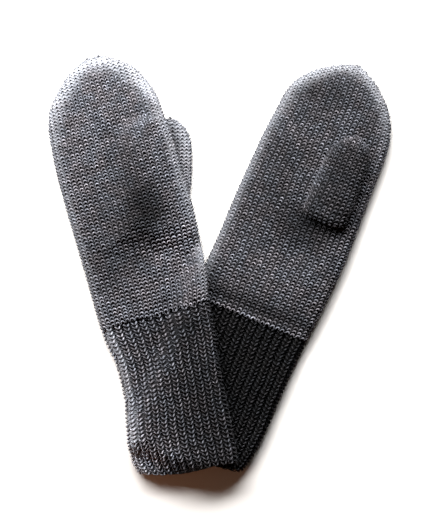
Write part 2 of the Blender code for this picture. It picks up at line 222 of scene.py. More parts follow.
# Soft hollows and swellings. The first six of each mitten are the solids' own. The rest are only
# here: narrow creases, and a rise at the left cuff's lower left corner.
LEFT_SWELLS = (
    Spot(4.0, 62.0, 13.0, 19.0, -1.2), Spot(-16.0, 30.0, 12.0, 22.0, 0.6),
    Spot(-18.0, 104.0, 10.0, 30.0, 0.5), Spot(14.0, 22.0, 11.0, 14.0, 0.6),
    Spot(6.0, 132.0, 16.0, 12.0, 0.4), Spot(-8.0, -46.0, 10.0, 26.0, 0.5),
    Spot(10.0, 40.0, 3.6, 16.0, -0.5, 14.0), Spot(-24.0, 66.0, 3.2, 20.0, -0.35, -8.0),
    Spot(20.0, -30.0, 3.4, 26.0, -0.4, 4.0), Spot(2.0, 148.0, 9.0, 3.6, -0.3, 10.0),
    Spot(-18.0, -108.0, 18.0, 18.0, 2.2),
)
RIGHT_SWELLS = (
    Spot(8.0, 52.0, 20.0, 9.0, -0.9), Spot(-14.0, 60.0, 10.0, 26.0, 0.5),
    Spot(-6.0, 118.0, 14.0, 22.0, 0.5), Spot(26.0, 30.0, 9.0, 18.0, 0.5),
    Spot(2.0, 156.0, 14.0, 8.0, 0.4), Spot(16.0, -40.0, 12.0, 22.0, 0.4),
    Spot(-12.0, 26.0, 3.4, 18.0, -0.4, 12.0), Spot(2.0, 4.5, 34.0, 2.6, -0.8),
    Spot(-10.0, 92.0, 3.4, 17.0, -0.35, -14.0), Spot(4.0, -62.0, 3.2, 22.0, -0.4, -5.0),
)


def smoothed(values: np.ndarray, passes: int) -> np.ndarray:
    """Round off the corners of a table of values.

    Args:
        values: The values at even steps.
        passes: How often each value is averaged with its neighbours.

    Returns:
        The values, with the two at the ends kept.
    """
    values = np.array(values, float)
    for _ in range(passes):
        values[1:-1] = (values[:-2] + 2 * values[1:-1] + values[2:]) / 4
    return values


class Profile:
    """The sections of a tube as smooth functions of the station."""

    def __init__(self, rows: Sequence[Row], step: float = 0.5, passes: int = 24) -> None:
        """Tabulate the rows at even steps.

        Args:
            rows: The sections, from the hem to the tip.
            step: The distance between the tabulated stations.
            passes: How much the corners are rounded off.
        """
        stations = [row.along for row in rows]
        self.start, self.end = stations[0], stations[-1]
        count = int((self.end - self.start) / step) + 2
        self.fine = np.linspace(self.start, self.end, count)
        self.table = {
            name: smoothed(np.interp(self.fine, stations, [getattr(row, name) for row in rows]),
                           passes)
            for name in ("left", "right", "thick", "lag_left", "lag_right")}

    def at(self, name: str, along: np.ndarray) -> np.ndarray:
        """Return one of the sizes at the given stations."""
        return np.interp(along, self.fine, self.table[name])


def slope(distance: np.ndarray, inside: float, outside: float) -> np.ndarray:
    """Find the share of a rise near an outline.

    Args:
        distance: How far points are outside the outline.
        inside: How far inside it the slope starts.
        outside: How far outside it the slope ends.

    Returns:
        1 well inside, 0 well outside and a smooth slope between.
    """
    t = np.clip((outside - distance) / (inside + outside), 0.0, 1.0)
    return t * t * (3.0 - 2.0 * t)


def sway(along: np.ndarray) -> np.ndarray:
    """Return how far the left thumb's middle is off its axis."""
    return THUMB_SWAY * slope(along, 0.0, 22.0)


@dataclass(frozen=True)
class Ground:
    """What the left mitten lies over: the right mitten and its own thumb."""

    over_mitten: float = 8.5  # how high the left mitten lies over the right one
    inside: float = 1.5  # how far inside an outline the slope starts
    outside_mitten: float = 15.0  # how far outside the right mitten the slope ends
    outside_thumb: float = 23.0
    beside: float = 3.5  # how far past the thumb's outline the hand stays raised

    def mitten_distance(self, x: np.ndarray, y: np.ndarray) -> np.ndarray:
        """Find how far table points are outside the right mitten.

        Args:
            x: Distance to the right on the table.
            y: Distance up the table.

        Returns:
            The distances, which are negative inside.
        """
        across, along = RIGHT_PLACE.to_mitten(x, y)
        rows = RIGHT_CUFF[1:] + RIGHT_HAND[:-2]
        stations = [row.along for row in rows]
        left = np.interp(along, stations, [row.left for row in rows])
        right = np.interp(along, stations, [row.right for row in rows])
        return np.maximum(np.maximum(left - across, across - right), RIGHT_CUFF[0].along - along)

    def thumb_distance(self, x: np.ndarray, y: np.ndarray) -> np.ndarray:
        """Find how far table points are outside the left thumb.

        Args:
            x: Distance to the right on the table.
            y: Distance up the table.

        Returns:
            The distances, which are negative inside.
        """
        across, along = LEFT_THUMB_PLACE.to_mitten(x, y)
        stations = [row.upper for row in THUMB[:-2]] + [THUMB_TIP]
        left = np.interp(along, stations, [row.left for row in THUMB[:-2]] + [0.0]) + sway(along)
        right = np.interp(along, stations, [row.right for row in THUMB[:-2]] + [0.0]) + sway(along)
        sides = np.maximum(left - across, across - right)
        ends = np.maximum(-self.beside - along, along - THUMB_TIP)
        return np.maximum(sides, ends) - self.beside

    def height(self, x: np.ndarray, y: np.ndarray) -> np.ndarray:
        """Find how high the left mitten's underside lies.

        Args:
            x: Distance to the right on the table.
            y: Distance up the table.

        Returns:
            The heights.
        """
        mitten = self.over_mitten * slope(self.mitten_distance(x, y), self.inside,
                                          self.outside_mitten)
        own = (THUMB_THICK + GAP) * slope(self.thumb_distance(x, y), self.inside,
                                          self.outside_thumb)
        return (mitten ** 4 + own ** 4) ** 0.25


def oval(half: float, thick: float, dome: float,
         count: int) -> tuple[np.ndarray, np.ndarray, float]:
    """Lay out a section that is flat below, round at its sides and domed above.

    Args:
        half: Half its width.
        thick: Its thickness.
        dome: The share of its thickness that it loses at its sides.
        count: How many even steps there are round it.

    Returns:
        Across and up of each point, clockwise from the top middle, and the girth.
    """
    radius = min(thick / 2, half * 0.98)
    flat = half - radius
    side = np.radians(np.linspace(90, -90, 19))
    top = np.linspace(0.0, flat, 14)
    u = np.concatenate([top[:-1], flat + radius * np.cos(side), -np.linspace(-flat, flat, 27)[1:-1],
                        -flat - radius * np.cos(side[::-1]), -top[::-1][1:]])
    v = np.concatenate([np.full(13, thick), thick * (0.5 + 0.5 * np.sin(side)), np.zeros(25),
                        thick * (0.5 + 0.5 * np.sin(side[::-1])), np.full(13, thick)])
    v = v * (1 - dome * np.abs(u / half) ** 3)
    reached = np.concatenate([[0.0], np.cumsum(np.hypot(np.diff(u), np.diff(v)))])
    even = np.arange(count) / count * reached[-1]
    return np.interp(even, reached, u), np.interp(even, reached, v), float(reached[-1])


class Surface:
    """A tube's cloth as a net of points, which any place on it is read from."""

    def __init__(self, stations: np.ndarray, points: np.ndarray, girths: np.ndarray,
                 middles: np.ndarray) -> None:
        """Keep the net and work out which way it faces.

        Args:
            stations: The distance of each section along the tube.
            points: Sections by steps round by x, y and z.
            girths: The length round each section.
            middles: Where the middle of each section is, across.
        """
        self.stations, self.points = stations, points
        self.girths, self.middles = girths, middles
        wrapped = np.concatenate([points[:, -1:], points, points[:, :1]], axis=1)
        round_it = wrapped[:, 2:] - wrapped[:, :-2]
        along_it = np.gradient(points, axis=0)
        facing = np.cross(round_it, along_it)
        self.normals = facing / np.maximum(np.linalg.norm(facing, axis=2, keepdims=True), 1e-9)

    def girth(self, along: np.ndarray) -> np.ndarray:
        """Return the length round the tube at the given stations."""
        return np.interp(along, self.stations, self.girths)

    def middle(self, along: np.ndarray) -> np.ndarray:
        """Return where the tube's middle is at the given stations."""
        return np.interp(along, self.stations, self.middles)

    def at(self, part: np.ndarray, along: np.ndarray) -> tuple[np.ndarray, np.ndarray]:
        """Read points of the cloth and the way that it faces there.

        Args:
            part: How far round the tube they are, clockwise from the top middle, in turns.
            along: Their stations, which may lie a little past the ends.

        Returns:
            Points and normals, each of them n by 3.
        """
        sections, steps = self.points.shape[:2]
        row = np.clip(np.interp(along, self.stations, np.arange(sections)), 0, sections - 1.0001)
        column = np.mod(part, 1.0) * steps
        i, j = row.astype(int), column.astype(int) % steps
        a, b = (row - i)[:, None], (column - np.floor(column))[:, None]
        k = (j + 1) % steps
        read = []
        for net in (self.points, self.normals):
            read.append((net[i, j] * (1 - b) + net[i, k] * b) * (1 - a)
                        + (net[i + 1, j] * (1 - b) + net[i + 1, k] * b) * a)
        point, normal = read
        past = along - np.clip(along, self.stations[0], self.stations[-1])
        far = np.where(past > 0, sections - 2, 0)
        step = self.stations[far + 1] - self.stations[far]
        on = (self.points[far + 1, j] - self.points[far, j]) / step[:, None]
        on = on / np.maximum(np.linalg.norm(on, axis=1, keepdims=True), 1.0)
        point = point + on * past[:, None]
        return point, normal / np.maximum(np.linalg.norm(normal, axis=1, keepdims=True), 1e-9)


# Yarn


class Loop(Enum):
    """The forms that yarn shows on a knitted face."""

    HEAD = "head of a purl loop, with the foot beside it"
    PLAIN_HEAD = "head of a purl loop, for the underside"
    VEE = "the two legs of a knit stitch"
    BAR = "a purl bar down in a groove"
    HAIR = "a fibre that stands off the yarn"


@dataclass(frozen=True)
class YarnRun:
    """One length of yarn: its middle line, thickness and how finely it is made."""

    line: tuple[tuple[float, float, float], ...]
    radius: float
    sides: int
    ends: float = 0.7  # how thick the ends are against the middle

    def add_to(self, mesh: bmesh.types.BMesh, layers: tuple) -> None:
        """Sweep the yarn by extruding a small disc along its line.

        Args:
            mesh: The mesh that takes it.
            layers: The vertex layers of the distance along and the turn round.
        """
        along_layer, round_layer = layers
        line = [Vector(point) for point in self.line]
        made = bmesh.ops.create_circle(mesh, cap_ends=True, segments=self.sides, radius=1.0)
        ring = made["verts"]
        for k, vert in enumerate(ring):
            vert[round_layer] = k / self.sides
        face = next(f for f in ring[0].link_faces if len(f.verts) == self.sides)
        reached = 0.0
        for n, point in enumerate(line):
            if n:
                grown = bmesh.ops.extrude_face_region(mesh, geom=[face])["geom"]
                ring = [part for part in grown if isinstance(part, bmesh.types.BMVert)]
                face = next(part for part in grown if isinstance(part, bmesh.types.BMFace))
                reached += (point - line[n - 1]).length
            ahead = (line[min(n + 1, len(line) - 1)] - line[max(n - 1, 0)]).normalized()
            side = ahead.cross(Vector((0, 0, 1))).normalized()
            up = side.cross(ahead)
            share = abs(2 * n / (len(line) - 1) - 1) ** 3
            radius = self.radius * (1 - (1 - self.ends) * share)
            for vert in ring:
                turn = 2 * math.pi * vert[round_layer]
                vert.co = point + radius * (math.cos(turn) * up + math.sin(turn) * side)
                vert[along_layer] = reached


def arch(across: float, high: float, reach: float, steps: int, top: float, bottom: float,
         middle: tuple[float, float] = (0.0, 0.0), down: bool = False) -> tuple:
    """Lay out the middle line of an arch of yarn.

    Args:
        across: Its radius across.
        high: Its radius along the wale.
        reach: How far round it goes each way, in degrees.
        steps: How many steps it has.
        top: Its height over the cloth at its crown.
        bottom: Its height at its ends.
        middle: Where its middle is.
        down: Whether its crown points to the hem.

    Returns:
        The points of the line.
    """
    points = []
    for k in range(steps + 1):
        turn = math.radians(reach) * (2 * k / steps - 1)
        lift = bottom + (top - bottom) * (1 - abs(2 * k / steps - 1) ** 1.7)
        points.append((middle[0] + across * math.sin(turn),
                       middle[1] + high * math.cos(turn) * (-1 if down else 1), lift))
    return tuple(points)


WALE = 3.3  # between two wales of the hand, as the loops below are drawn
COURSE = 2.26  # between two courses, on the average
EDGE_HIGHLIGHT_WIDTH = 6.5  # how far round from an edge its pale fluff and painted highlight reach
DEPTH = 0.85  # from the net down to the middle of the yarn in plain knitting
LOWEST_YARN = 0.06  # over the table
LOWEST_CLOTH = 0.3
TUMBLED_SIZES = (0.5, 1.25)
HEIGHT_SHADE_AND_HIGHLIGHT = ((-0.8, -0.1, 0.62), (0.26, 0.82, 1.60))  # heights in a stitch, and their tones: painted shade low in it, a painted highlight on its crown

LOOPS: dict[Loop, tuple[YarnRun, ...]] = {
    Loop.HEAD: (
        YarnRun(arch(0.98, 1.10, 104, 6, 0.30, -0.62), 0.50, 4, 0.75),
        YarnRun(arch(0.72, 0.69, 96, 3, -0.10, -0.55, (WALE / 2, 0.1), True), 0.41, 3, 0.8),
    ),
    Loop.PLAIN_HEAD: (
        YarnRun(arch(1.02, 1.1, 100, 4, 0.30, -0.55), 0.52, 3, 0.8),
    ),
    Loop.VEE: (
        YarnRun(((0.42, -1.05, -0.65), (0.80, -0.52, 0.22), (1.28, 0.08, 0.42),
                 (1.62, 0.62, 0.12), (1.88, 0.98, -0.65)), 0.54, 4, 0.60),
        YarnRun(((0.02, -1.10, -0.70), (-0.58, -0.62, 0.14), (-1.24, 0.04, 0.36),
                 (-1.74, 0.66, 0.08), (-2.06, 1.05, -0.65)), 0.52, 4, 0.60),
    ),
    Loop.BAR: (
        YarnRun(arch(0.75, 0.4, 90, 4, -0.35, -0.6), 0.38, 3, 0.8),
    ),
    Loop.HAIR: (
        YarnRun(((0.0, 0.0, 0.1), (0.25, 0.1, 0.9), (0.85, 0.35, 1.55)), 0.036, 3, 0.5),
    ),
}


@dataclass
class Stitch:
    """One stitch as numbers, ready to be set down many times."""

    points: np.ndarray
    faces: list[tuple[int, ...]]
    uv: np.ndarray

    @classmethod
    def of(cls, loop: Loop) -> Stitch:
        """Model a loop once.

        Args:
            loop: Which form of loop it is.

        Returns:
            The stitch, with its UV map in millimetres along and turns round.
        """
        mesh = bmesh.new()
        layers = (mesh.verts.layers.float.new("along"), mesh.verts.layers.float.new("round"))
        for run in LOOPS[loop]:
            run.add_to(mesh, layers)
        bmesh.ops.recalc_face_normals(mesh, faces=mesh.faces)
        mesh.verts.index_update()
        points = np.array([vert.co[:] for vert in mesh.verts])
        faces, uv = [], []
        for face in mesh.faces:
            faces.append(tuple(vert.index for vert in face.verts))
            turns = [vert[layers[1]] for vert in face.verts]
            wraps = max(turns) - min(turns) > 0.5 and len(turns) == 4
            for vert, turn in zip(face.verts, turns):
                uv.append((vert[layers[0]], turn + 1.0 if wraps and turn < 0.25 else turn))
        mesh.free()
        return cls(points, faces, np.array(uv))


def waves(a: np.ndarray, b: np.ndarray, seed: int) -> np.ndarray:
    """Make a gentle unevenness from a few sine waves.

    Args:
        a: The first place of each point.
        b: The second.
        seed: Which unevenness it is.

    Returns:
        Values from about -1 to 1.
    """
    rng = np.random.default_rng(seed)
    total = np.zeros(np.shape(a))
    for _ in range(5):
        turn, length, phase = rng.uniform(0, math.pi), rng.uniform(16, 46), rng.uniform(0, 6.3)
        total += np.sin((a * math.cos(turn) + b * math.sin(turn)) * 2 * math.pi / length + phase)
    return total / 2.6


@dataclass(frozen=True)
class Unevenness:
    """How much one hand-knitted stitch differs from the next."""

    size: float = 0.05
    lean: float = 0.07
    height: float = 0.07
    across: float = 0.035  # in wales
    along: float = 0.09
    wander_across: float = 0.10  # of a whole wale, in wales
    wander_along: float = 0.45  # of a whole course
    tone: float = 0.16


@dataclass
class Knitting:
    """Stitches of one form, set down on a tube's cloth and joined into one mesh."""

    name: str
    surface: Surface
    loop: Loop
    wales: int
    place: Callable[[np.ndarray, np.ndarray, np.ndarray], np.ndarray]
    raised: Callable[[np.ndarray, np.ndarray, np.ndarray], np.ndarray]
    tones: Callable[[np.ndarray, np.ndarray], tuple[np.ndarray, np.ndarray]]
    seed: int
    unit: float = WALE
    uneven: Unevenness = Unevenness()
    tumbled: bool = False  # whether each one is turned its own way and has its own length

    def set_down(self, wale: np.ndarray, along: np.ndarray, over: np.ndarray) -> bpy.types.Object:
        """Set the stitches down.

        Args:
            wale: The wale of each stitch, counted from the top middle.
            along: The station of each.
            over: Whether each is counted from the upper side's middle.

        Returns:
            The object of all of them.
        """
        stitch = Stitch.of(self.loop)
        rng = np.random.default_rng(self.seed)
        tones, fluff_and_highlight = self.tones(self.place(wale, along, over), along)
        count, each = len(wale), len(stitch.points)
        point = self.lay(stitch, rng, wale, along, over)
        faces = [tuple(v + each * n for v in face) for n in range(count) for face in stitch.faces]
        mesh = bpy.data.meshes.new(self.name)
        mesh.from_pydata(in_metres(point), [], faces)
        uv = np.tile(stitch.uv, (count, 1))
        uv[:, 0] += np.repeat(rng.uniform(0, 40, count), len(stitch.uv))
        mesh.uv_layers.new(name="yarn").data.foreach_set("uv", uv.astype(np.float32).ravel())
        mesh.polygons.foreach_set("use_smooth", np.ones(len(mesh.polygons), bool))
        # Painted shade low in each stitch and a painted highlight on its crown: stronger where the
        # yarn is made darker, weaker under the fluff and painted highlight of the rims.
        light = np.interp(stitch.points[:, 2], *HEIGHT_SHADE_AND_HIGHLIGHT)
        height_shade_power = (0.43 + 0.7 * np.clip(-tones, 0.0, 0.8)) * (1 - np.minimum(1.6 * fluff_and_highlight, 1.0))
        # The tone carries the tube's painted light and shade, and each stitch's own chance
        # difference.
        own = np.exp(tones + rng.normal(0.0, self.uneven.tone, count))
        for name, value in (("tone", own[:, None] * light[None, :] ** height_shade_power[:, None]),
                            ("fluff_and_highlight", np.repeat(fluff_and_highlight, each))):
            layer = mesh.attributes.new(name, "FLOAT", "POINT")
            layer.data.foreach_set("value", value.astype(np.float32).ravel())
        mesh.update()
        return linked(bpy.data.objects.new(self.name, mesh))

    def lay(self, stitch: Stitch, rng: np.random.Generator, wale: np.ndarray, along: np.ndarray,
            over: np.ndarray) -> np.ndarray:
        """Lay the stitches' points on the cloth, each stitch a little unlike the next.

        Args:
            stitch: The stitch that is repeated.
            rng: What the unevenness is drawn from.
            wale: The wale of each stitch, counted from the top middle.
            along: The station of each.
            over: Whether each is counted from the upper side's middle.

        Returns:
            The points of all the stitches on the table, in millimetres.
        """
        uneven, one_each = self.uneven, (len(wale), 1)
        x, y, z = (np.tile(stitch.points[:, k], one_each) for k in range(3))
        size = rng.normal(1.0, uneven.size, one_each)
        lean = rng.normal(0.0, uneven.lean, one_each)
        if self.tumbled:
            size = rng.uniform(*TUMBLED_SIZES, one_each)
            way = rng.uniform(0.0, 2 * math.pi, one_each)
            x, y = x * np.cos(way) - y * np.sin(way), x * np.sin(way) + y * np.cos(way)
        x, y = (x - lean * y) * size, (y + lean * x) * size
        z = z * size + rng.normal(0.0, uneven.height, one_each)
        wale = wale[:, None] + rng.normal(0.0, uneven.across, one_each)
        wale = wale + uneven.wander_across * waves(wale * WALE, along[:, None], self.seed + 1)
        along = along[:, None] + rng.normal(0.0, uneven.along, one_each)
        along = along + uneven.wander_along * waves(wale * WALE, along, self.seed + 2)
        wale, along = (wale + x / self.unit).ravel(), (along + y).ravel()
        part = self.place(wale, along, np.repeat(over, len(stitch.points)))
        point, normal = self.surface.at(part, along)
        lift = z.ravel() + self.raised(part, along, normal)
        point = point + normal * lift[:, None]
        point[:, 2] = np.maximum(point[:, 2], LOWEST_YARN)
        return point


def linked(obj: bpy.types.Object) -> bpy.types.Object:
    """Put an object into the scene and return it."""
    bpy.context.scene.collection.objects.link(obj)
    return obj


# Finishes


class Wire:
    """A node's socket that Python's operators work on."""

    def __init__(self, bench: Bench, socket: bpy.types.NodeSocket) -> None:
        """Keep the socket and the bench that it belongs to."""
        self.bench, self.socket = bench, socket

    def _math(self, operation: str, first: object, second: object = None) -> Wire:
        """Add a Math node.

        Args:
            operation: What it works out.
            first: Its first value or wire.
            second: Its second value or wire, where it has one.

        Returns:
            The wire of its result.
        """
        inputs = {0: first} if second is None else {0: first, 1: second}
        return self.bench.add("ShaderNodeMath", {"operation": operation}, inputs)

    def __add__(self, other: object) -> Wire:
        """Return self + other."""
        return self._math("ADD", self, other)

    def __mul__(self, other: object) -> Wire:
        """Return self * other."""
        return self._math("MULTIPLY", self, other)

    def __truediv__(self, other: object) -> Wire:
        """Return self / other."""
        return self._math("DIVIDE", self, other)

    def __rtruediv__(self, other: object) -> Wire:
        """Return other / self."""
        return self._math("DIVIDE", other, self)

    def __abs__(self) -> Wire:
        """Return the absolute value."""
        return self._math("ABSOLUTE", self)

    __radd__ = __add__
    __rmul__ = __mul__

    def sine(self) -> Wire:
        """Return the sine."""
        return self._math("SINE", self)


class Bench:
    """The node tree of one material."""

    def __init__(self, name: str) -> None:
        """Start a material with its Principled shader.

        Args:
            name: The material's name.
        """
        self.material = bpy.data.materials.new(name)
        self.material.use_nodes = True
        self.tree = self.material.node_tree
        self.shader = self.tree.nodes["Principled BSDF"]

    def add(self, kind: str, settings: dict | None = None, inputs: dict | None = None,
            output: int | str = 0) -> Wire:
        """Add a node.

        Args:
            kind: The node's type.
            settings: Its properties, and "stops" for a ramp's positions and colours.
            inputs: Values or wires by socket name or number.
            output: Which of its outputs is returned.

        Returns:
            The wire of that output.
        """
        node = self.tree.nodes.new(kind)
        for key, value in (settings or {}).items():
            if key == "stops":
                ramp = node.color_ramp.elements
                for n, (position, colour) in enumerate(value):
                    stop = ramp[n] if n < len(ramp) else ramp.new(position)
                    stop.position, stop.color = position, colour
            else:
                setattr(node, key, value)
        for key, value in (inputs or {}).items():
            self.feed(node.inputs[key], value)
        return Wire(self, node.outputs[output])

    def feed(self, socket: bpy.types.NodeSocket, value: object) -> None:
        """Give a socket a value, or a link where the value is a wire.

        Args:
            socket: The socket.
            value: The value or wire.
        """
        if isinstance(value, Wire):
            self.tree.links.new(value.socket, socket)
        else:
            socket.default_value = value

    def mix(self, factor: object, first: object, second: object, blend: str = "MIX") -> Wire:
        """Mix two colours.

        Args:
            factor: How much of the second there is.
            first: The first colour or wire.
            second: The second colour or wire.
            blend: How they are mixed.

        Returns:
            The wire of the mixed colour.
        """
        return self.add("ShaderNodeMix", {"data_type": "RGBA", "blend_type": blend},
                        {0: factor, 6: first, 7: second}, 2)

    def split(self, vector: Wire) -> tuple[Wire, Wire]:
        """Return the wires of a vector's first two numbers."""
        first = self.add("ShaderNodeSeparateXYZ", None, {0: vector})
        return first, Wire(self, first.socket.node.outputs[1])

    def noise(self, vector: Wire, scale: float, detail: float = 2.0) -> Wire:
        """Add noise.

        Args:
            vector: Where it is read.
            scale: How fine it is.
            detail: How many finer layers it has.

        Returns:
            The wire of its value, about 0.5 on the average.
        """
        return self.add("ShaderNodeTexNoise", None,
                        {"Vector": vector, "Scale": scale, "Detail": detail}, "Fac")


def grey(value: float) -> tuple[float, float, float, float]:
    """Return a plain grey."""
    return (value, value, value, 1.0)


@dataclass(frozen=True)
class MelangeYarn:
    """Charcoal wool spun from dark and pale fibres, softly twisted from two plies."""

    dark: float = 0.030
    middle: float = 0.105
    pale: float = 0.42
    cool: tuple[float, float, float, float] = (0.94, 0.98, 1.14, 1.0)
    warm: tuple[float, float, float, float] = (1.03, 0.965, 1.06, 1.0)
    fluff_and_highlight: tuple[float, float, float, float] = (0.48, 0.495, 0.535, 1.0)  # the pale colour of its fluff and of the painted highlight
    roughness: float = 0.86
    sheen: float = 0.04
    fluff: float = 1.5  # how much paler its single fibres look
    ply: float = 1.5  # length of one turn of the twist
    fibre: float = 1900.0  # how fine the flecks are
    cloud: float = 620.0  # how fine the pale and dark clouds are
    hue: float = 95.0  # how fine the changes of hue are
    stops: tuple[float, float, float] = (0.34, 0.52, 0.74)  # of the dark, the middle, the pale
    bump: float = 0.00012

    def dress(self, obj: bpy.types.Object, tone: float = 1.0, loops: bool = True) -> None:
        """Give an object this yarn.

        Args:
            obj: The object.
            tone: How light the yarn is made on it; on the cloth this is painted shade between the
                loops.
            loops: Whether the object is loops of yarn, with a UV map of their own.
        """
        bench = Bench(f"{obj.name}_yarn")
        place = bench.add("ShaderNodeTexCoord", output="Object")
        fleck = bench.noise(place, self.fibre, 3.0)
        bump = bench.add("ShaderNodeBump", None, {
            "Strength": 0.8, "Distance": self.bump,
            "Height": self.twist(bench) * 0.7 + fleck * 0.5 if loops else fleck})
        bench.feed(bench.shader.inputs["Base Color"], self.colour(bench, place, fleck, tone))
        bench.feed(bench.shader.inputs["Normal"], bump)
        bench.shader.inputs["Roughness"].default_value = self.roughness
        bench.shader.inputs["Sheen Weight"].default_value = self.sheen
        bench.shader.inputs["Sheen Roughness"].default_value = 0.5
        bench.shader.inputs["Specular IOR Level"].default_value = 0.06
        obj.data.materials.clear()
        obj.data.materials.append(bench.material)

    def colour(self, bench: Bench, place: Wire, fleck: Wire, tone: float) -> Wire:
        """Blend the fibres' greys, and read from the mesh their tone, painted light and shade, and
        fluff.

        Args:
            bench: The material's nodes.
            place: Where the pattern is read.
            fleck: The noise of single fibres.
            tone: How light the yarn is made; on the cloth, painted shade between the loops.

        Returns:
            The wire of the colour.
        """
        cloud = bench.noise(place, self.cloud, 2.0)
        greys = (grey(value * tone) for value in (self.dark, self.middle, self.pale))
        colour = bench.add("ShaderNodeValToRGB", {"stops": tuple(zip(self.stops, greys))},
                           {"Fac": fleck * 0.62 + cloud * 0.38})
        tint = bench.add("ShaderNodeValToRGB", {"stops": ((0.38, self.cool), (0.62, self.warm))},
                         {"Fac": bench.noise(place, self.hue, 2.0)})
        colour = bench.mix(1.0, colour, tint, "MULTIPLY")
        own = bench.add("ShaderNodeAttribute", {"attribute_name": "tone"}, output="Fac")
        colour = bench.add("ShaderNodeVectorMath", {"operation": "SCALE"},
                           {0: colour, "Scale": own})
        fluff_and_highlight = bench.add("ShaderNodeAttribute", {"attribute_name": "fluff_and_highlight"}, output="Fac")
        return bench.mix(fluff_and_highlight, colour, self.fluff_and_highlight)

    def twist(self, bench: Bench) -> Wire:
        """Return the wire of the height of the two plies' twist, read from the UV map."""
        along, turn = bench.split(bench.add("ShaderNodeUVMap", {"uv_map": "yarn"}))
        return abs(((along / self.ply + turn) * math.pi * 2).sine())


@dataclass(frozen=True)
class PaleTable:
    """The plain pale surface under the pair."""

    colour: tuple[float, float, float, float] = (0.82, 0.80, 0.775, 1.0)

    def dress(self, obj: bpy.types.Object) -> None:
        """Give an object this surface.

        Args:
            obj: The object.
        """
        bench = Bench("pale_table")
        place = bench.add("ShaderNodeTexCoord", output="Object")
        grain = bench.noise(place, 40.0, 4.0)
        colour = bench.mix(grain * 0.05, self.colour, (0.79, 0.77, 0.745, 1.0))
        bench.feed(bench.shader.inputs["Base Color"], colour)
        bench.shader.inputs["Roughness"].default_value = 0.9
        bench.shader.inputs["Specular IOR Level"].default_value = 0.1
        obj.data.materials.append(bench.material)


# Tubes


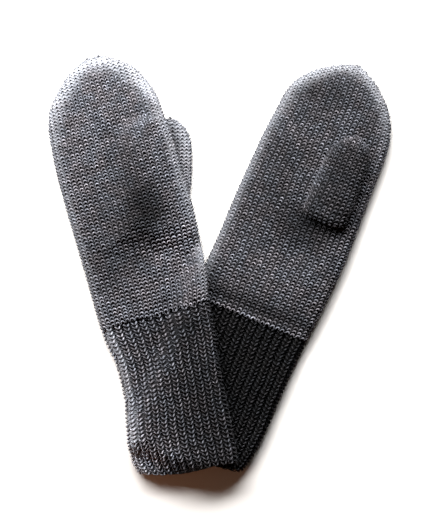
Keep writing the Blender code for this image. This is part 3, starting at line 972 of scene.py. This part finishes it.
@dataclass(kw_only=True)
class Tube:
    """A knitted tube: its cloth and the loops on it."""

    name: str
    wales: int
    seed: int
    tone: float = 1.0  # how light the yarn is made on this tube, mostly as painted light and shade
    # patches that change the yarn's tone: mostly painted light and shade
    patches: tuple[Spot, ...] = ()
    highlight_rims: tuple[float, float, float] = (0.0, 0.0, 0.0)  # how much pale fluff and painted highlight: left, right and tip
    tip_highlight_width: float = 7.0  # how far in from the tip its pale fluff and painted highlight reach
    tip_reach: float = 38.0  # how far from the tip the edges take on its fluff and painted highlight
    outline_shade: float = 0.5  # how much darker the very outline is, where the cloth turns down
    steps: int = 192  # round the net that the cloth is read from
    around: int = 96  # round the cloth's mesh
    lengthwise: int = 70  # and along it
    sunk: float = 1.15  # how far the cloth lies under the yarn's outside
    wall: float = 0.9
    shaded_cloth_tone: float = 0.20  # how light the cloth between the loops is against the yarn: painted shade in the gaps
    course: float = COURSE
    closer: float = 0.0  # how much closer the courses lie at the tip than half way
    inset: float = 1.0  # of the first course from the open end
    fixed_from: float = 1e9  # where the wales stop narrowing and run out at the outline
    fibres: int = 5400  # from which those of the fluff are chosen
    closed: bool = True
    yarn: MelangeYarn = field(default_factory=MelangeYarn)

    def surface(self) -> Surface:
        """Return the net of the tube's outside."""
        raise NotImplementedError

    def raised(self, part: np.ndarray, along: np.ndarray, normal: np.ndarray) -> np.ndarray:
        """Find how far the knitting's face stands off the net.

        Args:
            part: How far round the tube the points are.
            along: Their stations.
            normal: The way that the net faces there.

        Returns:
            The distances, which are negative inwards.
        """
        return np.full(len(part), -DEPTH)

    def round_part(self, wale: np.ndarray, along: np.ndarray, over: np.ndarray) -> np.ndarray:
        """Find how far round the tube a wale is.

        Args:
            wale: The wales, counted from the top middle.
            along: The stations.
            over: Whether each is counted from the upper side's middle.

        Returns:
            The places, in turns.
        """
        net = self.net
        start = min(self.fixed_from, net.stations[-1])
        girth = net.girth(along)
        shift = net.middle(np.array([start])) - net.middle(along)
        first = net.girth(np.array([start]))
        upper = (wale / self.wales * first + shift) / girth
        turned = np.where(wale > 0, wale - self.wales, wale) + self.wales / 2
        lower = 0.5 + (turned / self.wales * first - shift) / girth
        return np.where(along < start, wale / self.wales, np.where(over, upper, lower))

    def from_edge(self, part: np.ndarray, along: np.ndarray) -> np.ndarray:
        """Return how far round the tube places are from its nearer edge."""
        off = np.abs(np.mod(part + 0.5, 1.0) - 0.5)
        return np.abs(0.25 - off) * self.net.girth(along)

    def tones(self, part: np.ndarray, along: np.ndarray) -> tuple[np.ndarray, np.ndarray]:
        """Find how light the yarn is made at places on the tube, with painted light and shade.

        Args:
            part: How far round the tube they are.
            along: Their stations.

        Returns:
            The natural logarithms of the yarn's tones, and how much pale fluff and painted
            highlight cover it.
        """
        point = self.net.at(part, along)[0]
        change = summed(self.patches, point[:, 0], point[:, 1])
        inside = self.from_edge(part, along)
        # Pale fluff and a painted highlight along the edges and at the tip
        to_tip = self.net.stations[-1] - along
        near = np.exp(-(to_tip / self.tip_reach) ** 2) if self.highlight_rims[2] else 0.0 * to_tip
        wide = EDGE_HIGHLIGHT_WIDTH + (1.41 * self.tip_highlight_width + 2.0 - EDGE_HIGHLIGHT_WIDTH) * near
        side = np.where(np.mod(part + 0.5, 1.0) < 0.5, self.highlight_rims[0], self.highlight_rims[1])
        side = (side * (1 - near) + self.highlight_rims[2] * near) * np.exp(-(inside / wide) ** 3)
        tip = self.highlight_rims[2] * np.exp(-(np.maximum(to_tip, 0.0) / self.tip_highlight_width) ** 3)
        fluff_and_highlight = np.minimum((side ** 3 + tip ** 3) ** (1 / 3), 1.0)
        outline = np.maximum(np.exp(-(inside / 2.4) ** 2), np.exp(-(to_tip / 1.4) ** 2))
        share = self.outline_shade * outline
        return math.log(self.tone) + change - share, fluff_and_highlight * (1 - share)

    def cloth(self) -> bpy.types.Object:
        """Make the cloth from a grid that is rolled into the tube.

        Returns:
            The cloth, with a live wall.
        """
        net = self.net
        work = bmesh.new()
        sheet_map = work.loops.layers.uv.new("cloth")
        bmesh.ops.create_grid(work, x_segments=self.around, y_segments=self.lengthwise, size=0.5)
        flat = np.array([vert.co[:] for vert in work.verts])
        part = flat[:, 0] + 0.5
        along = net.stations[0] + (flat[:, 1] + 0.5) * (net.stations[-1] - net.stations[0])
        for face in work.faces:
            for loop in face.loops:
                loop[sheet_map].uv = loop.vert.co.xy + Vector((0.5, 0.5))
        point, normal = net.at(part, along)
        lift = self.raised(part, along, normal) + DEPTH - self.sunk
        point = point + normal * lift[:, None]
        point[:, 2] = np.maximum(point[:, 2], LOWEST_CLOTH)
        # The cloth takes the same painted light and shade, and at the rims twice the fluff and
        # painted highlight.
        layers = [work.verts.layers.float.new(name) for name in ("tone", "fluff_and_highlight")]
        tones, fluff_and_highlight = self.tones(part, along)
        for vert, place, *values in zip(work.verts, in_metres(point), np.exp(tones),
                                       np.minimum(2.0 * fluff_and_highlight, 1.0)):
            vert.co = place
            vert[layers[0]], vert[layers[1]] = values
        self.close_up(work)
        mesh = bpy.data.meshes.new(f"{self.name}_cloth")
        work.to_mesh(mesh)
        work.free()
        mesh.polygons.foreach_set("use_smooth", np.ones(len(mesh.polygons), bool))
        obj = linked(bpy.data.objects.new(f"{self.name}_cloth", mesh))
        wall = obj.modifiers.new("wall", "SOLIDIFY")
        wall.thickness, wall.offset = self.wall * MM, -1.0
        self.yarn.dress(obj, self.shaded_cloth_tone, loops=False)
        return obj

    def close_up(self, work: bmesh.types.BMesh) -> None:
        """Join the rolled grid's edges, close its tip and turn its faces outwards.

        Args:
            work: The rolled grid.
        """
        bmesh.ops.remove_doubles(work, verts=work.verts, dist=1e-6)
        if self.closed:
            last = [edge for edge in work.edges if edge.is_boundary
                    and self.at_tip(edge.verts[0].co) and self.at_tip(edge.verts[1].co)]
            bmesh.ops.holes_fill(work, edges=last, sides=0)
        work.normal_update()
        outwards = {face: face.normal.copy() for face in work.faces}  # the grid rolls up face out
        bmesh.ops.recalc_face_normals(work, faces=work.faces)
        if sum(face.normal.dot(out) * face.calc_area() for face, out in outwards.items()) < 0:
            bmesh.ops.reverse_faces(work, faces=work.faces)

    def at_tip(self, point: Vector) -> bool:
        """Return whether a point of the mesh is in the tube's last section."""
        tip = in_metres(self.net.points[-1].mean(axis=0))
        return (point - Vector(tip)).length < 6.5 * MM

    def courses(self) -> np.ndarray:
        """Find where the courses are.

        Returns:
            The stations of the courses, closer together at the tip where the tube has one.
        """
        first, last = self.net.stations[0] + self.inset, self.net.stations[-1] - 0.3
        part = np.linspace(0.0, 1.0, int(round((last - first) / self.course)) + 1)
        return first + (last - first) * (part + self.closer * (part - part * part))

    def knitting(self, name: str, loop: Loop, **more: object) -> Knitting:
        """Return the maker of one form of loop on this tube."""
        return Knitting(f"{self.name}_{name}", self.net, loop, self.wales, self.round_part,
                        self.raised, self.tones, self.seed, **more)

    def loops(self) -> list[bpy.types.Object]:
        """Knit the purl side over the whole tube.

        Returns:
            The loops of the upper side, with the edges, and those of the underside.
        """
        wale, along = (grid.ravel() for grid in np.meshgrid(
            np.arange(self.wales) - self.wales // 2 + 0.5, self.courses()))
        over = np.abs(wale) <= self.wales / 4 + 0.26
        part = self.round_part(wale, along, over)
        off = np.abs(np.mod(part + 0.5, 1.0) - 0.5)
        below = (off > 0.245) & (np.abs(part - 0.5) < 0.25)
        kept = (along < self.fixed_from) | np.where(over, np.abs(part) < 0.262, below)
        upper = kept & (np.abs(wale) <= self.wales / 3 + 0.01)
        made = []
        for name, loop, chosen in (("loops", Loop.HEAD, upper),
                                   ("under_loops", Loop.PLAIN_HEAD, kept & ~upper)):
            knit = self.knitting(name, loop)
            made.append(knit.set_down(wale[chosen], along[chosen], over[chosen]))
        return made

    def fluff(self) -> bpy.types.Object:
        """Scatter fine fibres over the tube, most of them along its edges and its tip.

        Returns:
            The object of all of them.
        """
        rng = np.random.default_rng(self.seed + 50)
        net = self.net
        wale = rng.uniform(-self.wales / 2, self.wales / 2, self.fibres)
        along = rng.uniform(net.stations[0] + 0.5, net.stations[-1] + 0.2, self.fibres)
        over = np.abs(wale) <= self.wales / 4
        part = self.round_part(wale, along, over)
        facing = net.at(part, along)[1][:, 2]
        inside = self.from_edge(part, along)
        chance = 0.05 + np.exp(-(inside / 4.5) ** 2)
        if self.closed:
            chance = chance + np.exp(-(net.stations[-1] - along) / 7.0)
        kept = (facing > -0.45) & (np.abs(part) < 0.5) & (rng.uniform(0, 1, len(part)) < chance)
        knit = self.knitting("fluff", Loop.HAIR, tumbled=True)
        return knit.set_down(wale[kept], along[kept], over[kept])

    def build(self) -> None:
        """Make the tube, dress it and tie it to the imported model."""
        self.net = self.surface()
        cloth, loops = self.cloth(), self.loops()
        for obj in loops:
            self.yarn.dress(obj)
        fluff = self.fluff()
        self.yarn.dress(fluff, self.yarn.fluff)
        loops.append(fluff)
        girth, length = float(self.net.girths.max()), float(np.ptp(self.net.stations))
        even = np.linspace(self.net.stations[0], self.net.stations[-1], 200)
        area = float(self.net.girth(even).mean()) * length
        for obj in [cloth, *loops]:
            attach(obj, "root")
            count = sum(len(face.vertices) - 2 for face in obj.data.polygons)
            LOG.info("%s: %d triangles", obj.name, count)
        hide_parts(self.name)
        LOG.info("%s: %.0f mm round and %.0f mm long", self.name, girth, length)

    def rests_on(self) -> list[str]:
        """Return the nodes that the tube lies on."""
        return []


@dataclass(kw_only=True)
class FlatTube(Tube):
    """A hand or a cuff: a tube that lies flat, given by its sections."""

    rows: tuple[Row, ...] = ()
    place_at: Place = LEFT_PLACE
    swells: tuple[Spot, ...] = ()
    dome: float = 0.16  # the share of its thickness that a section loses at its sides
    ground: Ground | None = None
    trimmed: float = 0.0  # how much the sections are smaller, for ribs that stand on them
    fuller: float = 0.6  # how far the loops swell past the model's sides
    nose: float = 5.3  # a section thinner than this is a tip's, and lies higher
    passes: int = 24

    def surface(self) -> Surface:
        """Lay the sections out on the table, over whatever lies there.

        Returns:
            The net of the tube's outside.
        """
        profile = Profile(self.rows, passes=self.passes)
        end = np.linspace(profile.end - 6, profile.end, 16)[1:] if self.closed else []
        stations = np.concatenate([
            np.linspace(profile.start, profile.end - (6 if self.closed else 0), 130), end])
        points, girths, middles = [], [], []
        for along in stations:
            left, right, thick = (float(profile.at(k, along)) for k in ("left", "right", "thick"))
            half, middle = (right - left) / 2 - self.trimmed + self.fuller, (left + right) / 2
            thick = thick - self.trimmed
            u, v, girth = oval(half, thick, self.dome, self.steps)
            lift = max(0.0, (self.nose - thick) / 2) if self.closed else 0.0
            part = u / (half + self.trimmed)
            lag = np.where(part < 0, profile.at("lag_left", along), profile.at("lag_right", along))
            across, at = middle + u, along + lag * part * part
            x, y = self.place_at.to_table(across, at)
            rise = summed(self.swells, across, at) * (v + lift) / max(thick, 4.0)
            under = self.ground.height(x, y) if self.ground else 0.0
            points.append(np.stack([x, y, v + lift + rise + under], axis=1))
            girths.append(girth)
            middles.append(middle)
        return Surface(stations, np.array(points), np.array(girths), np.array(middles))

    def rests_on(self) -> list[str]:
        """Return the nodes that the tube lies on."""
        return ["right_cuff"] if self.ground else []


@dataclass(kw_only=True)
class Hand(FlatTube):
    """A hand: a pouch from the wrist to its rounded tip, purl side out."""

    wales: int = 48
    inset: float = -1.3  # the first course is picked up over the cuff's last one
    closer: float = 0.045
    fibres: int = 19500


@dataclass(kw_only=True)
class Cuff(FlatTube):
    """A cuff in 1 by 1 rib."""

    wales: int = 26
    course: float = 2.62
    sunk: float = 1.5
    # Painted shade in the grooves and gaps, darker than on a hand
    shaded_cloth_tone: float = 0.10
    around: int = 156
    lengthwise: int = 44
    closed: bool = False
    dome: float = 0.10
    trimmed: float = 1.3
    rise: float = 1.3  # of the ribs' crests over the net
    groove: float = 0.75  # of the grooves below it

    def rib(self, part: np.ndarray, along: np.ndarray, normal: np.ndarray) -> np.ndarray:
        """Find the ribs' relief.

        Args:
            part: How far round the tube the points are.
            along: Their stations.
            normal: The way that the net faces there.

        Returns:
            How far the ribs stand off the net, with grooves below it.
        """
        crest = 0.5 - 0.5 * np.cos(2 * math.pi * part * self.wales)
        facing = np.clip((normal[:, 2] + 0.7) / 0.7, 0.0, 1.0)
        start = self.net.stations[0]
        ends = np.clip((along - start) / 1.3 + 0.2, 0.2, 1.0)
        return ends * (self.rise * crest ** 0.38 * facing - self.groove * (1 - crest) ** 3)

    def raised(self, part: np.ndarray, along: np.ndarray, normal: np.ndarray) -> np.ndarray:
        """Find how far the knitting's face stands off the net.

        Args:
            part: How far round the tube the points are.
            along: Their stations.
            normal: The way that the net faces there.

        Returns:
            The distances, which are negative inwards.
        """
        return self.rib(part, along, normal) - 0.62

    def loops(self) -> list[bpy.types.Object]:
        """Knit the ribs' crests and the bars in the grooves.

        Returns:
            The loops of the crests and those of the grooves.
        """
        made = []
        for name, loop, offset in (("loops", Loop.VEE, 0.5), ("bars", Loop.BAR, 0.0)):
            wale, along = (grid.ravel() for grid in np.meshgrid(
                np.arange(self.wales) - self.wales // 2 + offset, self.courses()))
            if loop is Loop.BAR:
                along = along + self.course / 2
                wale, along = (a[along < self.net.stations[-1] - 0.8] for a in (wale, along))
            knit = self.knitting(name, loop, unit=5.6)
            made.append(knit.set_down(wale, along, np.ones(len(wale), bool)))
        return made


@dataclass(kw_only=True)
class Thumb(Tube):
    """A thumb: a small tube from its opening in the palm to its rounded tip."""

    wales: int = 20
    around: int = 56
    lengthwise: int = 34
    dome: float = 0.3
    rows: tuple[ThumbRow, ...] = THUMB
    put: Callable[[np.ndarray, np.ndarray, np.ndarray], np.ndarray] | None = None
    lies_on: str = ""  # the node that it lies on
    fixed_from: float = 40.0

    def surface(self) -> Surface:
        """Lay the thumb's sections out from its opening.

        Returns:
            The net of the thumb's outside.
        """
        table = {name: np.array([getattr(row, name) for row in self.rows])
                 for name in ("under", "low", "upper", "high", "left", "right")}
        centre = np.stack([table["under"] + table["upper"], table["low"] + table["high"]], 1) / 2
        reached = np.concatenate([[0.0], np.cumsum(np.hypot(*np.diff(centre, axis=0).T))])
        stations = np.linspace(0, reached[-1], 90)
        fine = {name: smoothed(np.interp(stations, reached, values), 2)
                for name, values in table.items()}
        points, girths, middles = [], [], []
        for n in range(len(stations)):
            row = ThumbRow(**{name: float(values[n]) for name, values in fine.items()})
            lean, rise = row.upper - row.under, row.high - row.low
            deep = math.hypot(lean, rise)
            middle = (row.left + row.right) / 2
            u, v, girth = oval((row.right - row.left) / 2, deep, self.dome, self.steps)
            points.append(self.put(middle + u, row.under + lean * v / deep,
                                   row.low + rise * v / deep))
            girths.append(girth)
            middles.append(middle)
        return Surface(stations, np.array(points), np.array(girths), np.array(middles))

    def rests_on(self) -> list[str]:
        """Return the nodes that the thumb lies on."""
        return [self.lies_on] if self.lies_on else []


def palm(across: np.ndarray, along: np.ndarray) -> np.ndarray:
    """Find the height of the right hand's upper side.

    Args:
        across: Distance to the mitten's right.
        along: Distance from its wrist.

    Returns:
        The heights.
    """
    stations = [row.along for row in RIGHT_HAND]
    left, right, thick = (np.interp(along, stations, [getattr(row, edge) for row in RIGHT_HAND])
                          for edge in ("left", "right", "thick"))
    part = np.abs((across - (left + right) / 2) / ((right - left) / 2))
    return thick * (1 - 0.16 * part ** 3) + summed(RIGHT_SWELLS, across, along)


def on_palm(across: np.ndarray, along: np.ndarray, up: np.ndarray) -> np.ndarray:
    """Place points of the right thumb, which lies on the right palm.

    Args:
        across: Distance to the thumb's right.
        along: Distance from its base.
        up: Height over the palm.

    Returns:
        The points, n by 3.
    """
    across, along = across + RIGHT_THUMB_AT[0], along + RIGHT_THUMB_AT[1]
    x, y = RIGHT_PLACE.to_table(across, along)
    return np.stack([x, y, up + GAP + palm(across, along)], axis=1)


def under_palm(across: np.ndarray, along: np.ndarray, up: np.ndarray) -> np.ndarray:
    """Place points of the left thumb, which lies on the table under the palm.

    Args:
        across: Distance to the thumb's right.
        along: Distance from its base.
        up: Height over the table.

    Returns:
        The points, n by 3.
    """
    x, y = LEFT_THUMB_PLACE.to_table(across + sway(along), along)
    return np.stack([x, y, up], axis=1)


def turned_over(rows: Sequence[ThumbRow]) -> tuple[ThumbRow, ...]:
    """Return a thumb's rows for a thumb that lies under its palm."""
    return tuple(ThumbRow(row.upper, THUMB_THICK - row.high, row.under, THUMB_THICK - row.low,
                          row.left, row.right) for row in rows)


# Studio


@dataclass(frozen=True)
class Lamp:
    """A soft rectangular light, placed and aimed in metres."""

    name: str
    place: tuple[float, float, float]
    aim: tuple[float, float, float]
    size: tuple[float, float]
    power: float  # in watts
    colour: tuple[float, float, float] = (1.0, 1.0, 1.0)

    def hang(self) -> None:
        """Hang the light where the camera doesn't see it."""
        light = bpy.data.lights.new(self.name, "AREA")
        light.shape, light.size, light.size_y = "RECTANGLE", *self.size
        light.energy, light.color = self.power, self.colour
        obj = linked(bpy.data.objects.new(self.name, light))
        obj.visible_camera = False
        obj.location = self.place
        way = Vector(self.aim) - Vector(self.place)
        obj.rotation_euler = way.to_track_quat("-Z", "Y").to_euler()


@dataclass(frozen=True)
class Studio:
    """The table, the lights and the camera straight above."""

    frame_width: float = 277.35  # what the picture shows across, at the height below
    frame_middle: tuple[float, float] = (-2.895, 1.785)
    height: float = 7.0  # about the middle of the pair
    camera_height: float = 1150.0
    lamps: tuple[Lamp, ...] = (
        Lamp("window", (-0.17, 0.59, 0.375), (0.0, -0.02, 0.0), (1.25, 0.22), 37.0),
        Lamp("glow", (-0.20, -0.24, 0.10), (-0.02, -0.145, 0.0), (0.16, 0.10), 0.075,
             (1.0, 0.34, 0.11)),
    )
    room_colour: tuple[float, float, float, float] = (1.0, 0.78, 0.64, 1.0)
    room_light: float = 0.034

    def table(self) -> None:
        """Lay the pale surface."""
        work = bmesh.new()
        bmesh.ops.create_grid(work, x_segments=2, y_segments=2, size=3.0)
        mesh = bpy.data.meshes.new("pale_table")
        work.to_mesh(mesh)
        work.free()
        obj = linked(bpy.data.objects.new("pale_table", mesh))
        PaleTable().dress(obj)

    def lights(self) -> None:
        """Light the pair from the top of the picture, with a warm glow below the cuffs."""
        for lamp in self.lamps:
            lamp.hang()
        world = bpy.data.worlds.new("room")
        world.use_nodes = True
        back = world.node_tree.nodes["Background"]
        back.inputs["Color"].default_value = self.room_colour
        back.inputs["Strength"].default_value = self.room_light
        bpy.context.scene.world = world

    def camera(self) -> None:
        """Hang the camera straight above, with the photo's frame."""
        data = bpy.data.cameras.new("camera")
        data.sensor_fit, data.sensor_width = "HORIZONTAL", 36.0
        data.lens = 36.0 * (self.camera_height - self.height) / self.frame_width
        data.clip_start, data.clip_end = 0.05, 20.0
        obj = linked(bpy.data.objects.new("camera", data))
        obj.location = (*(MM * k for k in self.frame_middle), self.camera_height * MM)
        bpy.context.scene.camera = obj

    def set_up(self) -> None:
        """Set up the table, the lights and the camera."""
        self.table()
        self.lights()
        self.camera()
        settings = bpy.context.scene.view_settings
        settings.view_transform, settings.look = "Standard", "None"
        settings.exposure, settings.gamma = 0.0, 1.0


# The pair


# Where the yarn is made lighter or darker, in table places. These and the tubes' own tones stand
# mostly for the photo's light and shade, so they are right only in its light, from above.
LEFT_HAND_PATCHES = (
    Spot(-44.0, 33.0, 13.5, 19.0, -1.90, 12.0), Spot(-56.0, 67.0, 14.0, 20.0, -0.60, 15.0),
    Spot(-64.0, 14.0, 22.0, 24.0, -0.55), Spot(-67.0, -3.0, 22.0, 13.0, -0.55, 15.0),
    Spot(-28.0, 14.0, 17.0, 12.0, 0.60, 15.0), Spot(-64.0, 38.0, 18.0, 26.0, -0.30, 15.0),
    Spot(-27.0, -28.0, 12.0, 8.0, -0.40, 15.0),
)
LEFT_CUFF_PATCHES = (
    Spot(-62.0, -84.0, 14.0, 60.0, 0.72, 12.0), Spot(-2.0, -92.0, 22.0, 46.0, -1.20, 14.0),
    Spot(-24.0, -42.0, 24.0, 10.0, -0.85, 15.0), Spot(-43.0, -127.0, 20.0, 9.0, 1.40),
    Spot(-52.0, -44.0, 26.0, 7.0, 0.15, 15.0), Spot(-4.0, -130.0, 22.0, 6.0, -0.90),
)
RIGHT_HAND_PATCHES = (
    Spot(76.0, 38.0, 20.0, 20.0, -0.35), Spot(66.0, 103.0, 22.0, 16.0, -0.45),
    Spot(28.0, 0.0, 24.0, 12.0, 0.25, -22.0), Spot(46.0, 68.0, 14.0, 14.0, -0.30),
    Spot(98.0, 86.0, 7.0, 16.0, -0.35, -22.0), Spot(95.0, 46.0, 9.0, 22.0, 0.50, -22.0),
    Spot(60.0, 24.0, 16.0, 12.0, -1.25, -22.0), Spot(36.0, 42.0, 16.0, 30.0, -0.40, -22.0),
    Spot(24.9, -28.6, 44.0, 6.0, -1.10, -22.3), Spot(22.4, -34.6, 46.0, 1.4, 0.75, -22.3),
    Spot(75.0, 111.0, 22.0, 9.0, -0.45, -22.0), Spot(52.0, 15.0, 12.0, 8.0, -0.40, -22.0),
)
RIGHT_CUFF_PATCHES = (
    Spot(13.0, -118.0, 20.0, 16.0, 0.50), Spot(6.0, -72.0, 12.0, 26.0, -0.25, -22.0),
)
LEFT_THUMB_PATCHES = (Spot(-27.0, 68.0, 4.0, 30.0, -1.5, 12.0),)
RIGHT_THUMB_PATCHES = (
    Spot(66.0, 59.0, 4.0, 26.0, 1.00, -22.3), Spot(90.0, 79.0, 15.0, 4.5, 1.25, -22.3),
)


def left_mitten() -> list[Tube]:
    """Describe the left mitten, which lies over the right one.

    Returns:
        Its tubes.
    """
    shared = {"place_at": LEFT_PLACE, "swells": LEFT_SWELLS, "ground": Ground()}
    return [
        Hand(name="left_hand", rows=LEFT_HAND, fixed_from=132.0, seed=11, tone=0.92,
             patches=LEFT_HAND_PATCHES, highlight_rims=(0.15, 0.20, 0.38), tip_highlight_width=9.2, **shared),
        Cuff(name="left_cuff", rows=LEFT_CUFF, seed=12, tone=0.78, patches=LEFT_CUFF_PATCHES,
             highlight_rims=(0.30, 0.0, 0.0), shaded_cloth_tone=0.17, **shared),
        Thumb(name="left_thumb", rows=turned_over(THUMB), put=under_palm, seed=13, tone=1.25,
              patches=LEFT_THUMB_PATCHES, highlight_rims=(0.0, 0.26, 0.26)),
    ]


def right_mitten() -> list[Tube]:
    """Describe the right mitten, which shows its palm.

    Returns:
        Its tubes.
    """
    shared = {"place_at": RIGHT_PLACE, "swells": RIGHT_SWELLS}
    return [
        Hand(name="right_hand", rows=RIGHT_HAND, fixed_from=133.0, seed=21, tone=0.55,
             patches=RIGHT_HAND_PATCHES, highlight_rims=(0.15, 0.0, 0.31), tip_highlight_width=6.8, **shared),
        Cuff(name="right_cuff", rows=RIGHT_CUFF, seed=22, tone=0.085, patches=RIGHT_CUFF_PATCHES,
             **shared),
        Thumb(name="right_thumb", put=on_palm, lies_on="right_hand", seed=23, tone=0.22,
              patches=RIGHT_THUMB_PATCHES),
    ]


def main() -> None:
    """Build the studio and the pair, and write how big the pair is."""
    logging.basicConfig(level=logging.INFO, format="%(message)s")
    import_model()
    Studio().set_up()
    for tube in left_mitten() + right_mitten():
        tube.build()


if __name__ == "__main__":
    main()
